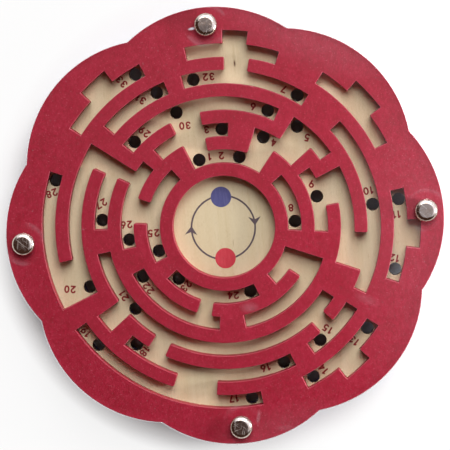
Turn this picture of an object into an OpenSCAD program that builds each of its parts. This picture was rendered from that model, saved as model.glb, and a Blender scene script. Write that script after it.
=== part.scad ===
// Double-sided ball maze: two maze plates on a drilled board, clear covers, four binding posts and a ball.
// The red front faces up, and the puzzle lies on the screw heads of its back. Angles are counted from +X.

/* [Ball] */
// Diameter of the steel ball
ball_d = 5; // [4:0.25:6]
// How much wider a channel is than the ball
channel_play = 1; // [0.6:0.1:1.4]
// How much wider a hole in the board is than the ball
hole_play = 0.8; // [0.4:0.1:1]
// How much thicker a maze plate is than the ball
ball_headroom = 1; // [0.5:0.1:2]
// Height of the resting ball above its cover
ball_lift = 0.2; // [0.1:0.05:0.3]

/* [Maze plates] */
// Radius of the round window in the middle
window_r = 23.3; // [20:0.1:30]
// Width of a wall between two channels
wall_w = 6; // [4:0.25:8]
// Width of the rim from the outermost channel to the top of a lobe
rim_w = 16.7; // [15:0.1:25]
// Depth of the pockets in the rim
pocket_depth = 6; // [4:0.25:6.5]
// Radius that rounds the free ends of the walls
end_r = 1.2; // [0.6:0.1:1.6]

/* [Outline] */
// Number of lobes around the rim
lobe_count = 8; // [8:4:16]
// Depth of the cusp between two lobes
cusp_depth = 5.5; // [3:0.25:6]

/* [Sheets] */
// Thickness of the drilled board
board_t = 4; // [3:0.5:8]
// Thickness of each clear cover
cover_t = 2; // [1.5:0.25:4]

/* [Binding posts] */
// Distance of a post from the top of its lobe
post_inset = 8; // [7:0.25:9]
// Diameter of a head
head_d = 10.5; // [9:0.25:13]
// Height of a head
head_h = 2.5; // [2.4:0.1:4]
// Radius of the rounded edge of a head
head_edge_r = 2.1; // [0.5:0.1:2.2]
// Outside diameter of a barrel
barrel_d = 5; // [4.5:0.1:6]
// How much wider the holes in the sheets are than a barrel
barrel_play = 0.3; // [0.2:0.05:0.6]
// How far a barrel stops short of the outer face of the rear cover
barrel_short = 0.5; // [0.2:0.1:1]
// Diameter of a screw shank
shank_d = 3; // [2:0.1:3.4]
// Length of a screw shank
shank_l = 9; // [6:0.5:12]
// How much wider the bore of a barrel is than the shank
shank_play = 0.3; // [0.2:0.05:0.5]
// Free depth of the bore beyond the tip of the shank
bore_spare = 2; // [1:0.5:4]
// Width of the screwdriver slot
slot_w = 1.4; // [0.8:0.1:2]
// Depth of the screwdriver slot
slot_depth = 1.2; // [0.6:0.1:1.5]

/* [Hidden] */
$fn = 144;

// Cutting tools reach this far past the faces they cut
over = 1;

channel_w = ball_d + channel_play;
hole_d = ball_d + hole_play;
maze_t = ball_d + ball_headroom;
track_count = 5;
track_pitch = wall_w + channel_w;

function track_in(track) = window_r + wall_w + (track - 1) * track_pitch;
function track_out(track) = track_in(track) + channel_w;
function track_mid(track) = track_in(track) + channel_w / 2;

// Each lobe is an arc through its own top and the cusps on its two sides
lobe_top_r = track_out(track_count) + rim_w;
cusp_r = lobe_top_r - cusp_depth;
half_lobe = 180 / lobe_count;
lobe_centre_r = (lobe_top_r ^ 2 - cusp_r ^ 2) / (2 * (lobe_top_r - cusp_r * cos(half_lobe)));
lobe_arc_r = lobe_top_r - lobe_centre_r;

// Heights of the sheets, from the table up
rear_cover_z = head_h;
rear_maze_z = rear_cover_z + cover_t;
board_z = rear_maze_z + maze_t;
front_maze_z = board_z + board_t;
front_cover_z = front_maze_z + maze_t;
front_face_z = front_cover_z + cover_t;

post_count = 4;
post_r = lobe_top_r - post_inset;
function post_angle(index) = (index - 1) * 360 / post_count;

// The rounding of a wall end crosses the faces it rounds, at this share of its radius
round_seat = 0.9;

// Front maze: channels as [track, from, to]
front_channels = [
    [1, 37.5, 112.5], [1, 127.5, 157.5], [1, 172.5, 217.5], [1, 232, 292], [1, 307.5, 383],
    [2, 22.5, 82.5], [2, 97.5, 157.5], [2, 172.5, 210], [2, 217.5, 247.5], [2, 262.5, 307.5], [2, 316, 368],
    [3, 7.5, 142.5], [3, 157.5, 203], [3, 210, 232.5], [3, 240, 316], [3, 323, 356.5],
    [4, 30.5, 38], [4, 45, 112.5], [4, 120.5, 143.5], [4, 150, 217.5], [4, 232.5, 281],
    [4, 287.5, 315], [4, 323, 382.5],
    [5, 30, 97.5], [5, 112.5, 142.5], [5, 157.5, 187.5], [5, 202.5, 232.5], [5, 247.5, 277.5],
    [5, 292.5, 322.5], [5, 337.5, 382.5]
];

// Front maze: gates through the wall inside a track, as [track, from, to]
front_gates = [
    [2, 67.5, 77], [2, 142, 157.5], [2, 232, 247.5], [2, 277, 292], [2, 337, 353],
    [3, 187, 203], [3, 217.5, 232.5], [3, 277, 292.5], [3, 323, 330.5],
    [4, 30.5, 38], [4, 53, 60.5], [4, 127.5, 134.5], [4, 157.5, 173], [4, 323, 331],
    [5, 7.5, 22.5], [5, 67.5, 82.5], [5, 256.5, 265]
];

// Front maze: pockets in the rim, as [from, to]
front_pockets = [[124, 133], [169, 177.5], [212.5, 223], [258, 265.5], [302.5, 312]];

// Rear maze: channels, gates and pockets in the same form
rear_channels = [
    [1, 37.5, 60], [1, 82.5, 187.5], [1, 210, 262.5], [1, 277.5, 382.5],
    [2, 22.5, 60], [2, 75, 150], [2, 165, 202.5], [2, 225, 247.5], [2, 255, 285],
    [2, 300, 330], [2, 345, 375],
    [3, 22.5, 67.5], [3, 82.5, 150], [3, 165, 210], [3, 217.5, 233.5], [3, 240, 262.5],
    [3, 277.5, 322.5], [3, 337.5, 367.5],
    [4, 0, 30], [4, 37.5, 67.5], [4, 75, 112.5], [4, 120, 150], [4, 165, 195], [4, 202.5, 225],
    [4, 232.5, 255], [4, 270, 300], [4, 315, 345],
    [5, 0, 22.5], [5, 30, 52.5], [5, 60, 75], [5, 82.5, 105], [5, 112.5, 127.5], [5, 135, 165],
    [5, 172.5, 195], [5, 202.5, 240], [5, 247.5, 277.5], [5, 285, 307.5], [5, 322.5, 345]
];
rear_gates = [
    [2, 45, 60], [2, 172.5, 187.5], [2, 255, 262.5], [2, 345, 360],
    [3, 135, 150], [3, 225, 233.5], [3, 300, 307.5],
    [4, 22.5, 30], [4, 82.5, 90], [4, 165, 172.5], [4, 202.5, 210], [4, 240, 247.5], [4, 337.5, 345],
    [5, 0, 7.5], [5, 37.5, 45], [5, 60, 67.5], [5, 90, 97.5], [5, 120, 127.5], [5, 172.5, 180],
    [5, 217.5, 225], [5, 247.5, 255], [5, 292.5, 300], [5, 330, 337.5]
];
rear_pockets = [[145.5, 154.5], [217, 226], [257.5, 265]];

// Ball holes in the order of their numbers, as [track, angle]
ball_holes = [
    [1, 286], [1, 253], [2, 266.5], [2, 241.5], [3, 229], [3, 244.5], [4, 236],
    [1, 179], [2, 193], [4, 183.5], [5, 184], [5, 161], [5, 139.5], [5, 115.5],
    [4, 125], [4, 108.5], [5, 94], [4, 48.5], [5, 38.5], [4, 19.5], [3, 38],
    [2, 27], [1, 44], [1, 106.5], [1, 16], [2, 3.5], [3, 352.5], [5, 340],
    [3, 312], [3, 288], [4, 292], [4, 277], [5, 295.5]
];

// The ball waits halfway along a channel of the rear maze
ball_track = 3;
ball_angle = 116.25;

// True where a channel of the maze reaches past an angle, on the side that step points to
function runs_past(channels, track, angle, step) =
    len([for (c = channels) for (turn = [-360, 0, 360])
        if (c[0] == track && angle + step + turn > c[1] && angle + step + turn < c[2]) c]) > 0;

// Scalloped sheet of a given thickness, without holes
module scalloped_sheet(thickness) {
    for (i = [0 : lobe_count - 1])
        translate(lobe_centre_r * [cos(2 * half_lobe * i), sin(2 * half_lobe * i), 0])
            cylinder(r = lobe_arc_r, h = thickness);
}

// Holes for the four barrels through a sheet
module barrel_holes(thickness) {
    for (i = [1 : post_count])
        rotate(post_angle(i))
            translate([post_r, 0, -over])
                cylinder(d = barrel_d + barrel_play, h = thickness + 2 * over);
}

// Ring segment that cuts a channel, a gate or a pocket
module arc_cut(r_in, r_out, from, to) {
    rotate_extrude(angle = to - from, start = from)
        translate([r_in, -over])
            square([r_out - r_in, maze_t + 2 * over]);
}

// Cuts the corner of a wall end round. side is 1 where the wall lies at greater angles, and
// reach is 1 where it lies at greater radii.
module corner_cut(corner_r, angle, side, reach) {
    seat = end_r * round_seat;
    rotate(angle)
        translate([corner_r, 0, -over])
            difference() {
                translate([reach > 0 ? -over : -seat, side > 0 ? -over : -seat, 0])
                    cube([seat + over, seat + over, maze_t + 2 * over]);
                translate([reach * seat, side * seat, -over])
                    cylinder(r = end_r, h = maze_t + 4 * over);
            }
}

// Rounds the corners of both wall ends at a gate, where a channel passes them
module gate_corners(channels, gate) {
    track = gate[0];
    ends = [[gate[1], -1], [gate[2], 1]];
    for (end = ends) {
        if (runs_past(channels, track, end[0], end[1]))
            corner_cut(track_in(track), end[0], end[1], -1);
        if (runs_past(channels, track - 1, end[0], end[1]))
            corner_cut(track_out(track - 1), end[0], end[1], 1);
    }
}

// Maze plate cut out of one sheet
module maze_plate(channels, gates, pockets) {
    difference() {
        scalloped_sheet(maze_t);
        translate([0, 0, -over])
            cylinder(r = window_r, h = maze_t + 2 * over);
        for (c = channels)
            arc_cut(track_in(c[0]), track_out(c[0]), c[1], c[2]);
        for (g = gates) {
            arc_cut(track_mid(g[0] - 1), track_mid(g[0]), g[1], g[2]);
            gate_corners(channels, g);
        }
        for (p = pockets)
            arc_cut(track_mid(track_count), track_out(track_count) + pocket_depth, p[0], p[1]);
        barrel_holes(maze_t);
    }
}

// Clear sheet with holes for the barrels
module cover() {
    difference() {
        scalloped_sheet(cover_t);
        barrel_holes(cover_t);
    }
}

// Round head that stands on z = 0, with a rounded upper edge
module head() {
    rotate_extrude() {
        square([head_d / 2, head_h - head_edge_r]);
        square([head_d / 2 - head_edge_r, head_h]);
        intersection() {
            translate([head_d / 2 - head_edge_r, head_h - head_edge_r])
                circle(r = head_edge_r);
            square([head_d / 2, head_h]);
        }
    }
}

module front_cover() {
    color([0.85, 0.9, 0.92, 0.25])
        translate([0, 0, front_cover_z])
            cover();
}

module front_maze() {
    color([0.65, 0.16, 0.23])
        translate([0, 0, front_maze_z])
            maze_plate(front_channels, front_gates, front_pockets);
}

module centre_board() {
    color([0.82, 0.73, 0.58])
        translate([0, 0, board_z])
            difference() {
                scalloped_sheet(board_t);
                for (h = ball_holes)
                    rotate(h[1])
                        translate([track_mid(h[0]), 0, -over])
                            cylinder(d = hole_d, h = board_t + 2 * over);
                barrel_holes(board_t);
            }
}

module rear_maze() {
    color([0.16, 0.25, 0.5])
        translate([0, 0, rear_maze_z])
            maze_plate(rear_channels, rear_gates, rear_pockets);
}

module rear_cover() {
    color([0.85, 0.9, 0.92, 0.25])
        translate([0, 0, rear_cover_z])
            cover();
}

// Plain head on the front cover, with a hollow barrel that runs down through all five sheets
module binding_post(index) {
    barrel_end_z = rear_cover_z + barrel_short;
    bore_top_z = rear_cover_z + shank_l + bore_spare;
    color([0.75, 0.74, 0.71])
        rotate(post_angle(index))
            translate([post_r, 0, 0])
                difference() {
                    union() {
                        translate([0, 0, front_face_z])
                            head();
                        translate([0, 0, barrel_end_z])
                            cylinder(d = barrel_d, h = front_face_z - barrel_end_z + head_edge_r / 2);
                    }
                    translate([0, 0, barrel_end_z - over])
                        cylinder(d = shank_d + shank_play, h = bore_top_z - barrel_end_z + over);
                }
}

// Slotted head under the rear cover, with a shank that enters the barrel
module binding_screw(index) {
    color([0.75, 0.74, 0.71])
        rotate(post_angle(index))
            translate([post_r, 0, 0])
                difference() {
                    union() {
                        translate([0, 0, head_h])
                            mirror([0, 0, 1])
                                head();
                        translate([0, 0, slot_depth + over / 2])
                            cylinder(d = shank_d, h = rear_cover_z + shank_l - slot_depth - over / 2);
                    }
                    translate([-slot_w / 2, -head_d / 2 - over, -over])
                        cube([slot_w, head_d + 2 * over, slot_depth + over]);
                }
}

module ball() {
    color([0.7, 0.71, 0.73])
        rotate(ball_angle)
            translate([track_mid(ball_track), 0, rear_maze_z + ball_lift + ball_d / 2])
                sphere(d = ball_d);
}

front_cover();
front_maze();
centre_board();
rear_maze();
rear_cover();
binding_post(1);  // binding_post_1
binding_post(2);  // binding_post_2
binding_post(3);  // binding_post_3
binding_post(4);  // binding_post_4
binding_screw(1);  // binding_screw_1
binding_screw(2);  // binding_screw_2
binding_screw(3);  // binding_screw_3
binding_screw(4);  // binding_screw_4
ball();
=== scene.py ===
import math

import bmesh
import bpy
from mathutils import Matrix, Vector
from mathutils.geometry import delaunay_2d_cdt


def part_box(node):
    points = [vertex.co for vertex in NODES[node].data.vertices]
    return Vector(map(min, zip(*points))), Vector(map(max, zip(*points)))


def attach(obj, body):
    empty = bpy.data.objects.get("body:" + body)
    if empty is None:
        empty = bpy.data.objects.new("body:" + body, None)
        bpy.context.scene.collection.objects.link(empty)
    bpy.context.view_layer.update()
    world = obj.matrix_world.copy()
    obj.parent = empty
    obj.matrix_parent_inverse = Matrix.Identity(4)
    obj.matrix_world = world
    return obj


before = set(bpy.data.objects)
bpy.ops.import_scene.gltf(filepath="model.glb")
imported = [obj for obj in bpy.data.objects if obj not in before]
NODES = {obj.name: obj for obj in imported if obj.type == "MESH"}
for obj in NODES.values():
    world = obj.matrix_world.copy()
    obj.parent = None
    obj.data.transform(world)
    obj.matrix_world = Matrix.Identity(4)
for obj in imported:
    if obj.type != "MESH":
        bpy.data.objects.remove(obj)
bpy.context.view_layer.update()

MM = 0.001
ZERO = (0.0, 0.0, 0.0)
WHITE = (1.0, 1.0, 1.0, 1.0)

# Upper faces of the board and of the front plate, in mm, and the circle that the posts stand on, in metres
BOARD_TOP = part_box("centre_board")[1].z / MM
PLATE_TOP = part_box("front_maze")[1].z / MM
POST_CIRCLE = (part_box("binding_post_1")[0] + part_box("binding_post_1")[1]).to_2d().length / 2


def srgb(red, green, blue):
    """A screen colour of 0 to 255 a channel as the linear colour that the shaders take."""
    linear = []
    for value in (red / 255, green / 255, blue / 255):
        linear.append(value / 12.92 if value <= 0.04045 else ((value + 0.055) / 1.055) ** 2.4)
    return (*linear, 1.0)


def in_scene(name, data):
    """A new object with that data, in the scene."""
    made = bpy.data.objects.new(name, data)
    bpy.context.scene.collection.objects.link(made)
    return made


# Node trees

class Nodes:
    """A node tree. Each method adds nodes and returns the output that is used further on."""

    def __init__(self, owner, place, output):
        owner.use_nodes = True
        self.owner = owner
        self.tree = owner.node_tree
        self.tree.nodes.clear()
        self.place = self.node("ShaderNodeTexCoord").outputs[place]
        self.output = self.node(output)

    def end(self, shader):
        """Ends the tree in that shader and returns what the tree belongs to."""
        self.tree.links.new(shader, self.output.inputs["Surface"])
        return self.owner

    def node(self, kind, inputs=None, **settings):
        """A node with these settings; each input is a number, a colour or another node's output."""
        made = self.tree.nodes.new(kind)
        for key, value in settings.items():
            setattr(made, key, value)
        for key, value in (inputs or {}).items():
            if isinstance(value, bpy.types.NodeSocket):
                self.tree.links.new(value, made.inputs[key])
            else:
                made.inputs[key].default_value = value
        return made

    def between(self, value, span, to=(0.0, 1.0), smooth=False):
        """Takes the span of the value onto another span, held at the ends."""
        return self.node("ShaderNodeMapRange", {
            "Value": value,
            "From Min": span[0],
            "From Max": span[1],
            "To Min": to[0],
            "To Max": to[1],
        }, interpolation_type="SMOOTHSTEP" if smooth else "LINEAR").outputs["Result"]

    def maths(self, operation, first, second=0.0):
        return self.node("ShaderNodeMath", {0: first, 1: second}, operation=operation).outputs[0]

    def times(self, first, second):
        return self.maths("MULTIPLY", first, second)

    def blend(self, first, share, second):
        """The mean of two values, of which the first has that share."""
        return self.maths("ADD", self.times(first, share), self.times(second, 1.0 - share))

    def most(self, values):
        """The largest of the values."""
        largest = values[0]
        for value in values[1:]:
            largest = self.maths("MAXIMUM", largest, value)
        return largest

    def vector_maths(self, operation, first, second=ZERO, output="Vector"):
        made = self.node("ShaderNodeVectorMath", {0: first, 1: second}, operation=operation)
        return made.outputs[output]

    def length(self, vector):
        return self.vector_maths("LENGTH", vector, output="Value")

    def axes(self, vector):
        return self.node("ShaderNodeSeparateXYZ", {"Vector": vector}).outputs

    def ramp(self, value, *stops):
        """A colour for each stop (position, colour), blended between them."""
        made = self.node("ShaderNodeValToRGB", {"Fac": value})
        elements = made.color_ramp.elements
        while len(elements) < len(stops):
            elements.new(0.5)
        for element, (position, colour) in zip(elements, stops):
            element.position = position
            element.color = colour
        return made.outputs["Color"]

    def mix(self, share, first, second):
        """The first colour with that share of the second."""
        return self.node("ShaderNodeMix", {0: share, 6: first, 7: second}, data_type="RGBA").outputs[2]

    def mix_shaders(self, share, first, second):
        """The first shader with that share of the second."""
        return self.node("ShaderNodeMixShader", {0: share, 1: first, 2: second}).outputs[0]

    def rays(self):
        """What kind of ray looks: an output of 0 or 1 for each kind."""
        return self.node("ShaderNodeLightPath").outputs


# How level a face is where it stops being upright, and where it starts being level
UPRIGHT_END = (0.35, 0.65)
LEVEL_START = (0.955, 0.975)

# Share of a spot's reach, from its middle to its rim, over which it fades
SPOT_FADE = (0.3, 1.0)


class Finish(Nodes):
    """One node material, laid out in the object's own coordinates."""

    def __init__(self, name):
        super().__init__(bpy.data.materials.new(name), "Object", "ShaderNodeOutputMaterial")

    def stretched(self, x, y, z, turn=0.0):
        """The place on the object, turned by degrees about the upright axis, with each axis then scaled."""
        turned = self.node("ShaderNodeMapping", {
            "Vector": self.place,
            "Rotation": (0.0, 0.0, math.radians(turn)),
        })
        scaled = self.node("ShaderNodeMapping", {
            "Vector": turned.outputs[0],
            "Scale": (x, y, z),
        })
        return scaled.outputs[0]

    def noise(self, size_mm, detail=2.0, roughness=0.55, vector=None, distortion=0.0):
        """Smooth noise from 0 to 1 whose blotches are about size_mm across."""
        return self.node("ShaderNodeTexNoise", {
            "Vector": vector or self.place,
            "Scale": 1.0 / (size_mm * MM),
            "Detail": detail,
            "Roughness": roughness,
            "Distortion": distortion,
        }).outputs["Fac"]

    def normal(self):
        return self.node("ShaderNodeNewGeometry").outputs["Normal"]

    def bump(self, height, depth_mm, strength, lean=ZERO):
        """The normal, leaning a little that way, with fine relief."""
        leaning = self.vector_maths("ADD", self.normal(), lean)
        return self.node("ShaderNodeBump", {
            "Height": height,
            "Distance": depth_mm * MM,
            "Strength": strength,
            "Normal": self.vector_maths("NORMALIZE", leaning),
        }).outputs["Normal"]

    def levelness(self):
        """1 on level faces, 0 on upright ones."""
        return self.maths("ABSOLUTE", self.axes(self.normal())["Z"])

    def side_faces(self):
        """1 on upright faces and 0 on level ones."""
        return self.between(self.levelness(), UPRIGHT_END, (1.0, 0.0))

    def rounded_edges(self):
        """1 on the slanting faces of a rounded edge and 0 on level and upright ones."""
        level = self.levelness()
        off_upright = self.between(level, UPRIGHT_END)
        off_level = self.between(level, LEVEL_START, (1.0, 0.0))
        return self.times(off_upright, off_level)

    def plies(self, thickness_mm):
        """A wave from -1 to 1 up the edge of plywood, one wave for two plies."""
        wave = self.times(self.axes(self.place)["Z"], math.pi / (thickness_mm * MM))
        return self.maths("SINE", wave)

    def spot(self, centre_mm, half_mm, turn=0.0):
        """1 at the middle of an ellipse that lies level, fading to 0 at its rim."""
        placed = self.node("ShaderNodeMapping", {
            "Vector": self.place,
            "Location": (centre_mm[0] * MM, centre_mm[1] * MM, 0.0),
            "Rotation": (0.0, 0.0, math.radians(turn)),
            "Scale": (half_mm[0] * MM, half_mm[1] * MM, 1.0),
        }, vector_type="TEXTURE").outputs[0]
        return self.between(self.length(placed), SPOT_FADE, (1.0, 0.0))

    def lines(self, width_mm, stretch, turns, span, strength=1.0):
        """Fine straight scratches in several directions, from 0 to that strength."""
        sets = []
        for turn in turns:
            along = self.stretched(1.0, stretch, 1.0, turn)
            streaks = self.noise(width_mm, roughness=0.6, vector=along)
            sets.append(self.between(streaks, span, (0.0, strength)))
        return self.most(sets)

    def surface(self, **inputs):
        """Ends the material in a Principled shader; names use _ for a space."""
        shader = self.node("ShaderNodeBsdfPrincipled", {
            key.replace("_", " "): value for key, value in inputs.items()
        })
        return self.end(shader.outputs[0])


# Stained plywood

STAINED_PLY = 1.2
MOTTLE_SHARE = 0.3


def stained_wood(name, deep, middle, light, fleck_and_edge_highlight, cut_side):
    """Plywood stained through: mottles, short fibres, pale flecks, cut sides with plies, and a pale line on
    rounded edges that is partly wear and partly a painted highlight.
    """
    finish = Finish(name)
    mottle = finish.noise(9.0)
    fibre = finish.noise(1.0, roughness=0.7, vector=finish.stretched(1.0, 0.6, 1.0))
    tone = finish.blend(mottle, MOTTLE_SHARE, fibre)
    colour = finish.ramp(tone, (0.3, deep), (0.5, middle), (0.72, light))
    flecks = finish.between(finish.noise(0.55, detail=0.0), (0.72, 0.8), (0.0, 0.4))
    colour = finish.mix(flecks, colour, fleck_and_edge_highlight)
    plies = finish.between(finish.plies(STAINED_PLY), (-0.3, 0.3), (0.5, 0.8))
    colour = finish.mix(finish.times(plies, finish.side_faces()), colour, cut_side)
    # Rounded edges take the pale fleck colour: partly edge wear, partly a painted highlight along the tops
    # of the edges.
    wear = finish.between(finish.noise(3.0), (0.35, 0.6), (0.35, 0.75))
    colour = finish.mix(finish.times(wear, finish.rounded_edges()), colour, fleck_and_edge_highlight)
    rough = finish.between(finish.noise(2.5, detail=3.0), (0.3, 0.7), (0.44, 0.58))
    return finish.surface(
        Base_Color=colour,
        Roughness=rough,
        Normal=finish.bump(fibre, 0.06, 0.6),
        Specular_IOR_Level=0.45,
    )


RED_WOOD = stained_wood(
    "red_stained_wood",
    deep=srgb(136, 3, 30),
    middle=srgb(150, 7, 41),
    light=srgb(166, 26, 56),
    fleck_and_edge_highlight=srgb(196, 92, 110),
    cut_side=srgb(166, 46, 60),
)
BLUE_WOOD = stained_wood(
    "blue_stained_wood",
    deep=srgb(45, 52, 106),
    middle=srgb(56, 64, 122),
    light=srgb(70, 78, 136),
    fleck_and_edge_highlight=srgb(116, 124, 168),
    cut_side=srgb(86, 95, 152),
)


# Bare plywood

BARE_PLY = 1.3
BAND_SHARE = 0.6
VENEER_TONES = [
    (0.3, srgb(206, 188, 153)),
    (0.5, srgb(213, 197, 165)),
    (0.7, srgb(219, 205, 176)),
]
PORE_COLOUR = srgb(168, 138, 100)
SPECKLE_COLOUR = srgb(150, 120, 84)
SCORCHED_DARK = srgb(72, 50, 38)
SCORCHED_PALE = srgb(98, 70, 50)

# A streak, the knot in it and a short crack: middle and half lengths in mm, strength and colour
VENEER_MARKS = [
    ((-11.1, -75.5), (0.9, 7.0), 0.3, srgb(160, 130, 92)),
    ((-11.1, -73.5), (0.6, 1.9), 1.0, srgb(92, 64, 46)),
    ((-3.3, 8.0), (0.35, 2.3), 0.4, srgb(140, 104, 78)),
]


def bare_plywood():
    """Pale veneer, its grain along Y, with fine pores, a small knot and a crack; scorched cut edges."""
    finish = Finish("bare_plywood")
    band = finish.noise(9.0, 3.0, 0.5, finish.stretched(1.0, 0.06, 1.0), distortion=0.4)
    streak = finish.noise(1.6, 4.0, 0.6, finish.stretched(1.0, 0.035, 1.0))
    colour = finish.ramp(finish.blend(band, BAND_SHARE, streak), *VENEER_TONES)
    pores = finish.noise(0.5, 2.0, 0.5, finish.stretched(1.0, 0.12, 1.0))
    colour = finish.mix(finish.between(pores, (0.62, 0.72), (0.0, 0.3)), colour, PORE_COLOUR)
    speckle = finish.noise(0.6, 1.0, 0.5, finish.stretched(1.0, 0.5, 1.0))
    colour = finish.mix(finish.between(speckle, (0.3, 0.7), (0.0, 0.1)), colour, SPECKLE_COLOUR)
    for centre, half, strength, tone in VENEER_MARKS:
        colour = finish.mix(finish.times(finish.spot(centre, half), strength), colour, tone)
    plies = finish.between(finish.plies(BARE_PLY), (-0.25, 0.25))
    scorched = finish.mix(plies, SCORCHED_DARK, SCORCHED_PALE)
    colour = finish.mix(finish.side_faces(), colour, scorched)
    return finish.surface(
        Base_Color=colour,
        Roughness=finish.between(streak, (0.3, 0.7), (0.5, 0.68)),
        Normal=finish.bump(streak, 0.05, 0.5),
        Specular_IOR_Level=0.3,
    )


PLYWOOD = bare_plywood()


# Metal

SCRATCH_TURNS = (12.0, 71.0, 133.0)
PATCH_WEAR = 0.6

# How far the shading of posts and screws leans to the light, so that the flat crowns mirror a white card
HEAD_LEAN = (-0.045, -0.02, 0.0)


def scratched_metal(name, bright, dull, smooth, worn, lean=ZERO):
    """Polished metal with fine scratches and dull patches; its roughness goes from smooth to worn."""
    finish = Finish(name)
    scratches = finish.lines(0.5, 0.04, SCRATCH_TURNS, (0.58, 0.7))
    patches = finish.between(finish.noise(2.2, 4.0, 0.65), (0.42, 0.66))
    wear = finish.maths("MAXIMUM", scratches, finish.times(patches, PATCH_WEAR))
    return finish.surface(
        Base_Color=finish.mix(patches, bright, dull),
        Metallic=1.0,
        Roughness=finish.between(wear, (0.0, 1.0), (smooth, worn)),
        Normal=finish.bump(scratches, 0.02, 0.5, lean),
    )


NICKEL = scratched_metal("nickel", srgb(212, 200, 188), srgb(174, 154, 140), 0.1, 0.36, HEAD_LEAN)
BALL_STEEL = scratched_metal("ball_steel", srgb(226, 226, 228), srgb(200, 200, 204), 0.06, 0.16)


# Clear acrylic

ACRYLIC_IOR = 1.49
ACRYLIC_TINT = (0.99, 0.995, 0.99, 1.0)
HAZE_TINT = (0.85, 0.82, 0.93, 1.0)

# Hazy marks on the sheets: middle and half lengths in mm, turn, and the share of light that each scatters
SMEARS = [
    ((-62.5, 38.5), (8.5, 3.2), -29.0, 0.022),
    ((-8.5, 37.5), (5.0, 2.8), 0.0, 0.035),
    ((-20.1, 94.1), (7.0, 2.0), 0.0, 0.035),
    ((-8.2, 88.0), (1.2, 4.2), -12.0, 0.06),
    ((6.3, -90.8), (2.1, 0.75), 6.0, 0.9),
]

# Wide films on the sheets, in the same terms: partly worn haze, partly a painted sheen along the side
# nearest the side lamp
FILMS_AND_SHEEN = [
    ((-100.0, 14.0), (52.0, 120.0), 0.0, 0.015),
    ((-46.0, -84.0), (60.0, 17.0), -30.0, 0.017),
    ((-18.0, 94.0), (36.0, 12.0), 10.0, 0.011),
]

# Pressure ring in the sheet round each post: inner, brightest and outer distance from its axis in mm
PRESSURE_RING = (7.0, 9.4, 10.4)
PRESSURE_HAZE = 0.035

# Scratches of the sheets, and the share of light that they, the dust and the sawn edge scatter
SHEET_SCRATCH_TURNS = (24.0, 97.0)
SCRATCH_HAZE = 0.08
DUST_HAZE = 0.16
EDGE_FROST = 0.25


def from_nearest_post(finish):
    """Distance from the axis of the nearest post, in metres: the posts stand on the X and Y axes."""
    folded = finish.axes(finish.vector_maths("ABSOLUTE", finish.place))
    along = finish.maths("MAXIMUM", folded["X"], folded["Y"])
    across = finish.maths("MINIMUM", folded["X"], folded["Y"])
    offset = finish.node("ShaderNodeCombineXYZ", {
        "X": finish.maths("SUBTRACT", along, POST_CIRCLE),
        "Y": across,
    }).outputs[0]
    return finish.length(offset)


def pressure_rings(finish):
    """Patchy rings of haze round the posts."""
    reach = from_nearest_post(finish)
    inner, brightest, outer = (radius * MM for radius in PRESSURE_RING)
    rising = finish.between(reach, (inner, brightest))
    falling = finish.between(reach, (brightest, outer), (1.0, 0.0))
    patchy = finish.between(finish.noise(9.0, detail=1.0), (0.45, 0.62), (0.0, PRESSURE_HAZE))
    return finish.times(finish.times(rising, falling), patchy)


def acrylic_marks(finish):
    """The share of light that scratches, dust, smears, films, pressure rings and sawn edges scatter; the
    films are partly worn haze and partly a painted sheen.
    """
    marks = [
        finish.lines(0.9, 0.02, SHEET_SCRATCH_TURNS, (0.77, 0.83), SCRATCH_HAZE),
        finish.between(finish.noise(0.6, 0.0, 0.5), (0.84, 0.9), (0.0, DUST_HAZE)),
        finish.times(finish.side_faces(), EDGE_FROST),
        pressure_rings(finish),
    ]
    cloud = finish.between(finish.noise(3.0), (0.3, 0.7), (0.5, 1.0))
    # Smears are marks on the sheet; the films are partly worn haze and partly a painted sheen.
    for centre, half, turn, haze in SMEARS + FILMS_AND_SHEEN:
        hazy_patch = finish.times(finish.spot(centre, half, turn), haze)
        marks.append(finish.times(hazy_patch, cloud))
    return finish.most(marks)


def clear_acrylic():
    """Clear sheet: light goes through but for its marks and its gloss, on the face where it enters."""
    finish = Finish("clear_acrylic")
    gloss = finish.node("ShaderNodeBsdfGlossy", {
        "Color": WHITE,
        "Roughness": finish.between(finish.noise(6.0, detail=3.0), (0.3, 0.7), (0.03, 0.08)),
    }).outputs[0]
    clear = finish.node("ShaderNodeBsdfTransparent", {"Color": ACRYLIC_TINT}).outputs[0]
    shine = finish.node("ShaderNodeFresnel", {"IOR": ACRYLIC_IOR}).outputs[0]
    leaving = finish.node("ShaderNodeNewGeometry").outputs["Backfacing"]
    entering = finish.maths("SUBTRACT", 1.0, leaving)
    sheet = finish.mix_shaders(finish.times(shine, entering), clear, gloss)
    haze = finish.node("ShaderNodeBsdfDiffuse", {"Color": HAZE_TINT}).outputs[0]
    return finish.end(finish.mix_shaders(acrylic_marks(finish), sheet, haze))


ACRYLIC = clear_acrylic()


# Printing ink

def ink(name, full, thin):
    """Printing ink that lets a little of the wood's grain through."""
    finish = Finish(name)
    cover = finish.noise(0.7, 3.0, 0.6, finish.stretched(1.0, 0.15, 1.0))
    return finish.surface(
        Base_Color=finish.ramp(cover, (0.35, full), (0.75, thin)),
        Roughness=finish.between(cover, (0.3, 0.7), (0.55, 0.75)),
        Normal=finish.bump(cover, 0.02, 0.4),
        Specular_IOR_Level=0.25,
    )


NUMBER_INK = ink("number_ink", srgb(123, 25, 31), srgb(148, 49, 51))
SIGN_LINE_INK = ink("sign_line_ink", srgb(80, 68, 78), srgb(104, 90, 94))
SIGN_BLUE_INK = ink("sign_blue_ink", srgb(74, 74, 126), srgb(92, 92, 140))
SIGN_RED_INK = ink("sign_red_ink", srgb(190, 52, 68), srgb(202, 70, 82))


# Finish of each CAD node; posts and screws, which aren't listed, are nickel

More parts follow.
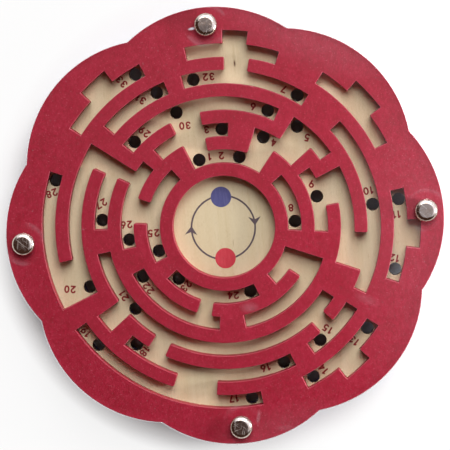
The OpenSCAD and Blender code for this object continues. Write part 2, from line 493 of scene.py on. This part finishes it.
NODE_FINISH = {
    "front_cover": ACRYLIC,
    "rear_cover": ACRYLIC,
    "front_maze": RED_WOOD,
    "rear_maze": BLUE_WOOD,
    "centre_board": PLYWOOD,
    "ball": BALL_STEEL,
}
for name, node in NODES.items():
    node.data.materials.clear()
    node.data.materials.append(NODE_FINISH.get(name, NICKEL))


# Edges of the sheets

# Radius of the rounding, in mm
EDGE_ROUNDING = {
    "front_cover": 0.8,
    "rear_cover": 0.8,
    "front_maze": 0.4,
    "rear_maze": 0.4,
    "centre_board": 0.2,
}
ROUNDING_SEGMENTS = 3

# In degrees: sharper edges than this are rounded, and faces that are flatter than this become one
SHARP_ANGLE = 40.0
FLAT_ANGLE = 0.3

# Points closer than this, in metres, become one point
SAME_POINT = 1e-6

# A hair of air, in mm, on both faces of each cover, so that the sheets don't share a plane
COVER_AIR = 0.02


def join_points(node):
    weld = node.modifiers.new("weld", "WELD")
    weld.merge_threshold = SAME_POINT


def keep_clear_of_neighbours(node):
    shrink = node.modifiers.new("shrink", "DISPLACE")
    shrink.mid_level = 0.0
    shrink.strength = -COVER_AIR * MM


def soften_edges(node, radius_mm):
    flat = node.modifiers.new("flat faces", "DECIMATE")
    flat.decimate_type = "DISSOLVE"
    flat.angle_limit = math.radians(FLAT_ANGLE)
    rounding = node.modifiers.new("rounding", "BEVEL")
    rounding.width = radius_mm * MM
    rounding.segments = ROUNDING_SEGMENTS
    rounding.limit_method = "ANGLE"
    rounding.angle_limit = math.radians(SHARP_ANGLE)
    rounding.loop_slide = False


for name in (*EDGE_ROUNDING, "ball"):
    join_points(NODES[name])
for name in ("front_cover", "rear_cover"):
    keep_clear_of_neighbours(NODES[name])
for name, radius in EDGE_ROUNDING.items():
    soften_edges(NODES[name], radius)


# Printing on the board

# How far the ink reaches into the wood and stands over it, in mm; the dots of the sign are thicker
INK_UNDER = 0.01
INK_OVER = 0.03
DOT_INK_OVER = 0.045

# Degrees by which the two halves of a ring overlap, and the corners of a stroke's round end
RING_OVERLAP = 5
ROUND_END = (30, 60, 90, 120, 150)

# For the triangulation: corners closer than this, in mm, are one, and all triangles are wanted
SAME_CORNER = 1e-5
ALL_TRIANGLES = 0


def on_circle(angle, radius):
    """The point at that angle, in degrees, and radius."""
    return Vector((radius * math.cos(math.radians(angle)), radius * math.sin(math.radians(angle))))


def arc(x, y, radius_x, radius_y, start, end, steps=14):
    """Points along an arc of an ellipse between two angles in degrees."""
    points = []
    for i in range(steps + 1):
        angle = math.radians(start + (end - start) * i / steps)
        points.append((x + radius_x * math.cos(angle), y + radius_y * math.sin(angle)))
    return points


def ring(x, y, radius_x, radius_y):
    """An ellipse as two strokes."""
    ellipse = (x, y, radius_x, radius_y)
    return [arc(*ellipse, 0, 180 + RING_OVERLAP), arc(*ellipse, 180, 360 + RING_OVERLAP)]


def ribbon(points, width):
    """The outline of a smooth stroke of that width with round ends."""
    half = width / 2
    line = [Vector(p) for p in points]
    left, right = [], []
    for i, point in enumerate(line):
        ahead = line[min(i + 1, len(line) - 1)] - line[max(i - 1, 0)]
        across = Vector((-ahead.y, ahead.x)).normalized() * half
        left.append(point + across)
        right.append(point - across)

    def round_end(centre, first):
        return [centre + Matrix.Rotation(math.radians(a), 2) @ (first - centre) for a in ROUND_END]

    return right + round_end(line[-1], right[-1]) + left[::-1] + round_end(line[0], left[0])


def add_flat_shape(mesh, outlines, over_mm, material_index):
    """Adds the union of the outlines to the mesh as one closed layer of ink, over_mm proud of the board."""
    corners, loops = [], []
    for outline in outlines:
        loops.append(list(range(len(corners), len(corners) + len(outline))))
        corners.extend(Vector(p) for p in outline)
    points, _, triangles, _, _, sources = delaunay_2d_cdt(corners, [], loops, ALL_TRIANGLES, SAME_CORNER)
    kept = [triangle for triangle, source in zip(triangles, sources) if source]
    used = sorted({i for triangle in kept for i in triangle})

    def layer(z_mm):
        return {i: mesh.verts.new((points[i].x * MM, points[i].y * MM, z_mm * MM)) for i in used}

    def face(verts):
        mesh.faces.new(verts).material_index = material_index

    low, high = layer(BOARD_TOP - INK_UNDER), layer(BOARD_TOP + over_mm)
    edges = []
    for triangle in kept:
        face([high[i] for i in triangle])
        face([low[i] for i in reversed(triangle)])
        edges.extend(zip(triangle, triangle[1:] + triangle[:1]))
    both_ways = set(edges)
    for a, b in edges:
        if (b, a) not in both_ways:
            face([low[a], low[b], high[b], high[a]])


def printed_piece(name, mesh, materials):
    data = bpy.data.meshes.new(name)
    mesh.to_mesh(data)
    mesh.free()
    for material in materials:
        data.materials.append(material)
    piece = in_scene(name, data)
    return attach(piece, "case")


# Hole numbers

# Sizes in mm
DIGIT_HEIGHT = 3.6
DIGIT_STROKE = 0.74
DIGIT_PITCH = 2.95
ONE_PITCH = 2.1

# Strokes of each digit on its centre lines, 1 high, x from the middle
DIGITS = {
    "0": ring(0, 0.5, 0.3, 0.5),
    "1": [[(0.08, 0), (0.08, 1)], [(0.08, 1), (-0.14, 0.82)]],
    "2": [arc(0, 0.71, 0.29, 0.29, 165, -38), [(0.228, 0.53), (-0.29, 0)], [(-0.29, 0), (0.31, 0)]],
    "3": [arc(-0.01, 0.745, 0.25, 0.255, 160, -95), arc(-0.01, 0.265, 0.29, 0.265, 95, -160)],
    "4": [[(0.12, 0), (0.12, 1)], [(0.12, 1), (-0.32, 0.26)], [(-0.32, 0.26), (0.3, 0.26)]],
    "5": [[(0.24, 1), (-0.13, 1)], [(-0.13, 1), (-0.2, 0.56)], arc(-0.02, 0.31, 0.31, 0.31, 125, -140)],
    "6": [*ring(0, 0.29, 0.29, 0.29), [(-0.25, 0.44), (0.12, 1)]],
    "7": [[(-0.29, 1), (0.29, 1)], [(0.29, 1), (-0.1, 0)]],
    "8": [*ring(0, 0.755, 0.245, 0.245), *ring(0, 0.265, 0.29, 0.265)],
    "9": [*ring(0, 0.71, 0.29, 0.29), [(0.25, 0.56), (-0.12, 0)]],
}

# Angle round the disc, radius in mm and tilt of the numbers 1 to 33
NUMBER_PLACES = [
    (277, 32.4, 0), (267.5, 32.2, 0), (275.5, 44.8, 0), (234.5, 44.2, -15), (222, 55.3, -15),
    (251.5, 56.1, -10), (241.5, 68.1, -28), (190.5, 31.5, 0), (201, 44.1, -5), (189, 67.6, 6),
    (179, 78.7, 2), (164.5, 78.9, -16), (133.5, 79.2, -45), (119.5, 79.8, -52), (130, 66.8, -37),
    (101, 68.0, 13), (88, 79.9, 3), (52.5, 68.9, 47), (32.5, 81.0, -53), (17.5, 77.3, -8),
    (30, 56.7, -62), (34.5, 45.5, -57), (52.5, 33.0, 42), (92, 32.2, -4), (1, 32.8, 0),
    (354.5, 45.1, 0), (345, 57.6, 25), (344.5, 80.9, 15), (305.5, 56.5, -43), (286.5, 49.3, 0),
    (298.5, 69.3, -38), (271, 68.5, 0), (300.5, 80.9, -52),
]


def number_outlines(text, angle, radius, tilt):
    """The stroke outlines of one number, in mm on the board."""
    scale = DIGIT_HEIGHT - DIGIT_STROKE
    pitches = [ONE_PITCH if digit == "1" else DIGIT_PITCH for digit in text]
    tilted = Matrix.Rotation(math.radians(tilt), 2)
    middle = on_circle(angle, radius)
    outlines = []
    left = -sum(pitches) / 2
    for digit, pitch in zip(text, pitches):
        origin = Vector((left + pitch / 2, -scale / 2))
        for stroke in DIGITS[digit]:
            placed = [middle + tilted @ (origin + Vector(point) * scale) for point in stroke]
            outlines.append(ribbon(placed, DIGIT_STROKE))
        left += pitch
    return outlines


numbers = bmesh.new()
for number, (angle, radius, tilt) in enumerate(NUMBER_PLACES, start=1):
    add_flat_shape(numbers, number_outlines(str(number), angle, radius, tilt), INK_OVER, 0)
printed_piece("hole_numbers", numbers, [NUMBER_INK])


# Turn-over sign in the window

# Sizes and places in mm
SIGN_CENTRE = (0.66, 0.68)
SIGN_RADIUS = 14.6
SIGN_LINE = 0.8
BLUE_DOT = (0.5, -13.4)
RED_DOT = (0.9, 14.8)
DOT_RADIUS = 4.7
DOT_CORNERS = 48
ARROW_LENGTH = 4.1
ARROW_HALF_WIDTH = 2.9
ARROW_NOTCH = 2.8

# First and last angle of the two lines between the dots, and the number of their pieces
SIGN_ARCS = [(-74, 74), (106, 254)]
SIGN_ARC_STEPS = 48

# Angle of each arrow's tip on the circle, and its way along Y
ARROWS = [(-7.5, -1), (179.0, 1)]


def arrow_head(tip_angle, forward):
    """A swept arrow head on the sign's circle; forward is +1 or -1 along Y."""
    tip = Vector(SIGN_CENTRE) + on_circle(tip_angle, SIGN_RADIUS)
    along = on_circle(tip_angle + 90, 1.0)
    if along.y * forward < 0:
        along = -along
    across = Vector((-along.y, along.x))
    back = tip - along * ARROW_LENGTH
    return [
        tip,
        back + across * ARROW_HALF_WIDTH,
        tip - along * ARROW_NOTCH,
        back - across * ARROW_HALF_WIDTH,
    ]


def dot_outline(centre):
    last_angle = 360 - 360 / DOT_CORNERS
    return arc(*centre, DOT_RADIUS, DOT_RADIUS, 0, last_angle, DOT_CORNERS - 1)


sign = bmesh.new()
sign_lines = []
for start, end in SIGN_ARCS:
    half_circle = arc(*SIGN_CENTRE, SIGN_RADIUS, SIGN_RADIUS, start, end, SIGN_ARC_STEPS)
    sign_lines.append(ribbon(half_circle, SIGN_LINE))
for tip_angle, forward in ARROWS:
    sign_lines.append(arrow_head(tip_angle, forward))
add_flat_shape(sign, sign_lines, INK_OVER, 0)
add_flat_shape(sign, [dot_outline(BLUE_DOT)], DOT_INK_OVER, 1)
add_flat_shape(sign, [dot_outline(RED_DOT)], DOT_INK_OVER, 2)
printed_piece("turn_sign", sign, [SIGN_LINE_INK, SIGN_BLUE_INK, SIGN_RED_INK])


# Floor

# Half its width, in metres
FLOOR_HALF = 6.0
FLOOR_CORNERS = [(-1, -1), (1, -1), (1, 1), (-1, 1)]
PAPER_TONES = [(0.3, (0.92, 0.92, 0.92, 1.0)), (0.7, (0.94, 0.94, 0.94, 1.0))]

# Distances from the middle, in metres, between which pure white comes in over the paper, and its share
WHITE_START = 0.094
WHITE_FULL = 0.112
WHITE_SHARE = 0.86


def pale_paper():
    """Pale paper; beyond the object the camera and mirrors see it nearly white, with a soft shadow."""
    finish = Finish("pale_paper")
    colour = finish.ramp(finish.noise(40.0, detail=3.0), *PAPER_TONES)
    paper = finish.node("ShaderNodeBsdfDiffuse", {"Color": colour}).outputs[0]
    white = finish.node("ShaderNodeEmission", {"Color": WHITE, "Strength": 1.0}).outputs[0]
    rays = finish.rays()
    seen = finish.most([rays["Is Camera Ray"], rays["Is Glossy Ray"], rays["Is Transmission Ray"]])
    reach = finish.length(finish.place)
    beyond = finish.between(reach, (WHITE_START, WHITE_FULL), (0.0, WHITE_SHARE))
    return finish.end(finish.mix_shaders(finish.times(seen, beyond), paper, white))


floor_data = bpy.data.meshes.new("floor")
floor_points = [(x * FLOOR_HALF, y * FLOOR_HALF, 0.0) for x, y in FLOOR_CORNERS]
floor_data.from_pydata(floor_points, [], [(0, 1, 2, 3)])
floor_data.materials.append(pale_paper())
floor = in_scene("floor", floor_data)


# Light

def from_photo_top(clockwise, elevation):
    """A direction that is clockwise degrees from the top of the picture and elevation above the floor."""
    a, e = math.radians(clockwise), math.radians(elevation)
    return (-math.sin(a) * math.cos(e), -math.cos(a) * math.cos(e), math.sin(e))


# Square soft boxes: direction, distance and width in metres, power in watts
LAMPS = {
    "key": (from_photo_top(20, 47), 2.0, 1.5, 54.0),
    "side": (from_photo_top(96, 17), 0.45, 0.1, 2.8),
}


def soft_lamp(name, towards, distance, width, power):
    """A square soft box that looks at the middle of the object from the given direction."""
    lamp = bpy.data.lights.new(name, "AREA")
    lamp.shape = "SQUARE"
    lamp.size = width
    lamp.energy = power
    holder = in_scene(name, lamp)
    direction = Vector(towards).normalized()
    holder.location = direction * distance
    holder.rotation_mode = "QUATERNION"
    holder.rotation_quaternion = (-direction).to_track_quat("-Z", "Y")


for name, lamp in LAMPS.items():
    soft_lamp(name, *lamp)

# Colours of the room at the horizon and overhead, with the heights, as sines, where they stand
ROOM_HORIZON = (0.05, (0.18, 0.125, 0.105, 1.0))
ROOM_CEILING = (0.5, (0.06, 0.027, 0.018, 1.0))

# White cards that polished surfaces mirror: directions, and degrees off their middle at rim and core
CARDS = [from_photo_top(66, 42), from_photo_top(5, 29)]
CARD_RIM = 48.0
CARD_CORE = 34.0
CARD_COLOUR = (1.28, 1.3, 1.48, 1.0)

# Height, as a sine, up to which metal and glass show the white backdrop; the camera sees it all round
BACKDROP_TOP = 0.12


def studio_world():
    """A dim warm room with cards that polished surfaces alone show, and a white backdrop."""
    room = Nodes(bpy.data.worlds.new("studio"), "Generated", "ShaderNodeOutputWorld")
    height = room.axes(room.place)["Z"]
    light = room.ramp(height, ROOM_HORIZON, ROOM_CEILING)
    card_edge = (math.cos(math.radians(CARD_RIM)), math.cos(math.radians(CARD_CORE)))
    glows = []
    for card in CARDS:
        nearness = room.vector_maths("DOT_PRODUCT", room.place, card, "Value")
        glows.append(room.between(nearness, card_edge, smooth=True))
    rays = room.rays()
    light = room.mix(room.times(room.most(glows), rays["Is Glossy Ray"]), light, CARD_COLOUR)
    mirrored = room.maths("MAXIMUM", rays["Is Glossy Ray"], rays["Is Transmission Ray"])
    low = room.maths("LESS_THAN", height, BACKDROP_TOP)
    backdrop = room.maths("MAXIMUM", rays["Is Camera Ray"], room.times(mirrored, low))
    light = room.mix(backdrop, light, WHITE)
    return room.end(room.node("ShaderNodeBackground", {"Color": light}).outputs[0])


bpy.context.scene.world = studio_world()


# Camera, as fitted to the photo: turns in degrees, and the front plate's middle from the camera in mm

CAMERA_TILT = 4.67
CAMERA_LEAN = -3.47
CAMERA_ROLL = 185.09
CAMERA_OFFSET = (-0.54, -0.90, -1000.0)
FOCAL_PIXELS = 2197.3
FRAME_PIXELS = 450
SENSOR = 36.0
NEAR = 0.05
FAR = 50.0

facing = (
    Matrix.Rotation(math.radians(CAMERA_TILT), 3, "X")
    @ Matrix.Rotation(math.radians(CAMERA_LEAN), 3, "Y")
    @ Matrix.Rotation(math.radians(CAMERA_ROLL), 3, "Z")
).transposed()
standpoint = Vector((0.0, 0.0, PLATE_TOP)) - facing @ Vector(CAMERA_OFFSET)
camera_data = bpy.data.cameras.new("camera")
camera_data.sensor_width = SENSOR
camera_data.lens = FOCAL_PIXELS / FRAME_PIXELS * SENSOR
camera_data.clip_start = NEAR
camera_data.clip_end = FAR
camera = in_scene("camera", camera_data)
camera.matrix_world = Matrix.Translation(standpoint * MM) @ facing.to_4x4()
bpy.context.scene.camera = camera

bpy.context.scene.view_settings.view_transform = "Standard"
